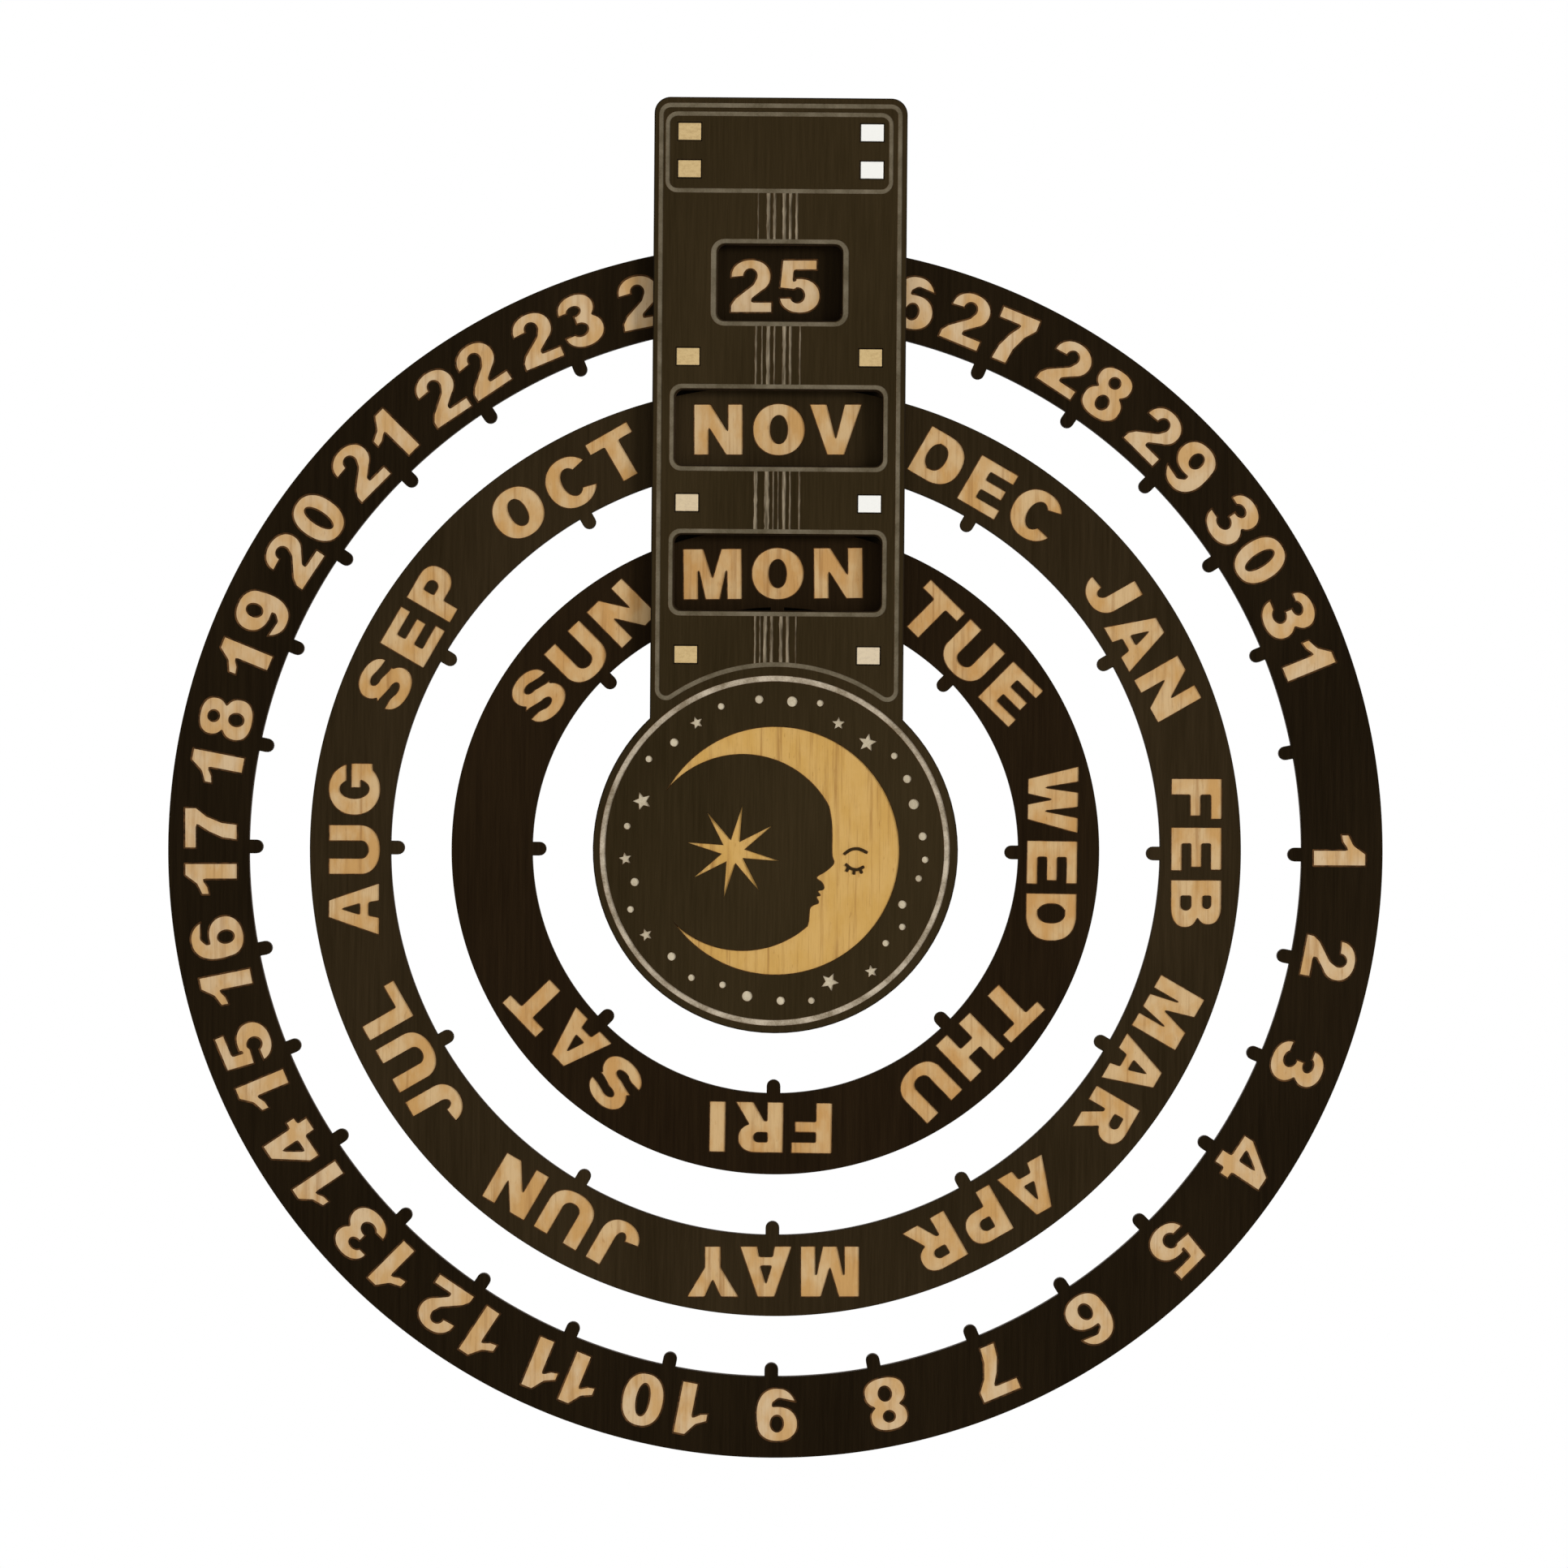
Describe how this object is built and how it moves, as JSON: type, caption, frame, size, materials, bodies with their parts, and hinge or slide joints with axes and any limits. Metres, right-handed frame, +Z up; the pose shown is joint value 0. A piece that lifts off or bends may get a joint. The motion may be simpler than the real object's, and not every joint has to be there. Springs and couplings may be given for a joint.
{
  "type": "perpetual calendar",
  "caption": "Wall-hung perpetual calendar: concentric day, month and date rings turn in a layered timber plaque with a window over each ring and a keyhole behind.",
  "frame": {"origin": "the rings' common centre, on the wall face of the back plate", "axes": "+Z up, +Y into the wall, +X to the viewer's right; the front looks along -Y"},
  "size_m": [0.3, 0.01, 0.3356],
  "materials": {
    "plaque_black": "matt black stain on birch plywood, engraved",
    "ring_black": "satin black stain on birch plywood, engraved",
    "core_wood": "bare birch plywood, edges browned by the cutter",
    "peg_wood": "bare square wooden peg, end grain"
  },
  "bodies": {
    "hanger": {"front_plate": "plaque_black", "back_plate": "plaque_black", "top_spacer": "core_wood", "date_cradle": "core_wood", "month_cradle": "core_wood", "day_cradle": "core_wood", "disc_spacer": "core_wood", "panel_upper_peg_left": "peg_wood", "panel_upper_peg_right": "peg_wood", "panel_lower_peg_left": "peg_wood", "panel_lower_peg_right": "peg_wood", "date_peg_left": "peg_wood", "date_peg_right": "peg_wood", "month_peg_left": "peg_wood", "month_peg_right": "peg_wood", "day_peg_left": "peg_wood", "day_peg_right": "peg_wood"},
    "date_ring": {"date_ring": "ring_black"},
    "month_ring": {"month_ring": "ring_black"},
    "day_ring": {"day_ring": "ring_black"}
  },
  "joints": [
    {"name": "date_ring_turn", "type": "hinge", "parent": "hanger", "child": "date_ring", "pos_m": [0, -0.005, 0], "axis": [0, 1, 0], "continuous": true},
    {"name": "month_ring_turn", "type": "hinge", "parent": "hanger", "child": "month_ring", "pos_m": [0, -0.005, 0], "axis": [0, 1, 0], "continuous": true},
    {"name": "day_ring_turn", "type": "hinge", "parent": "hanger", "child": "day_ring", "pos_m": [0, -0.005, 0], "axis": [0, 1, 0], "continuous": true}
  ]
}
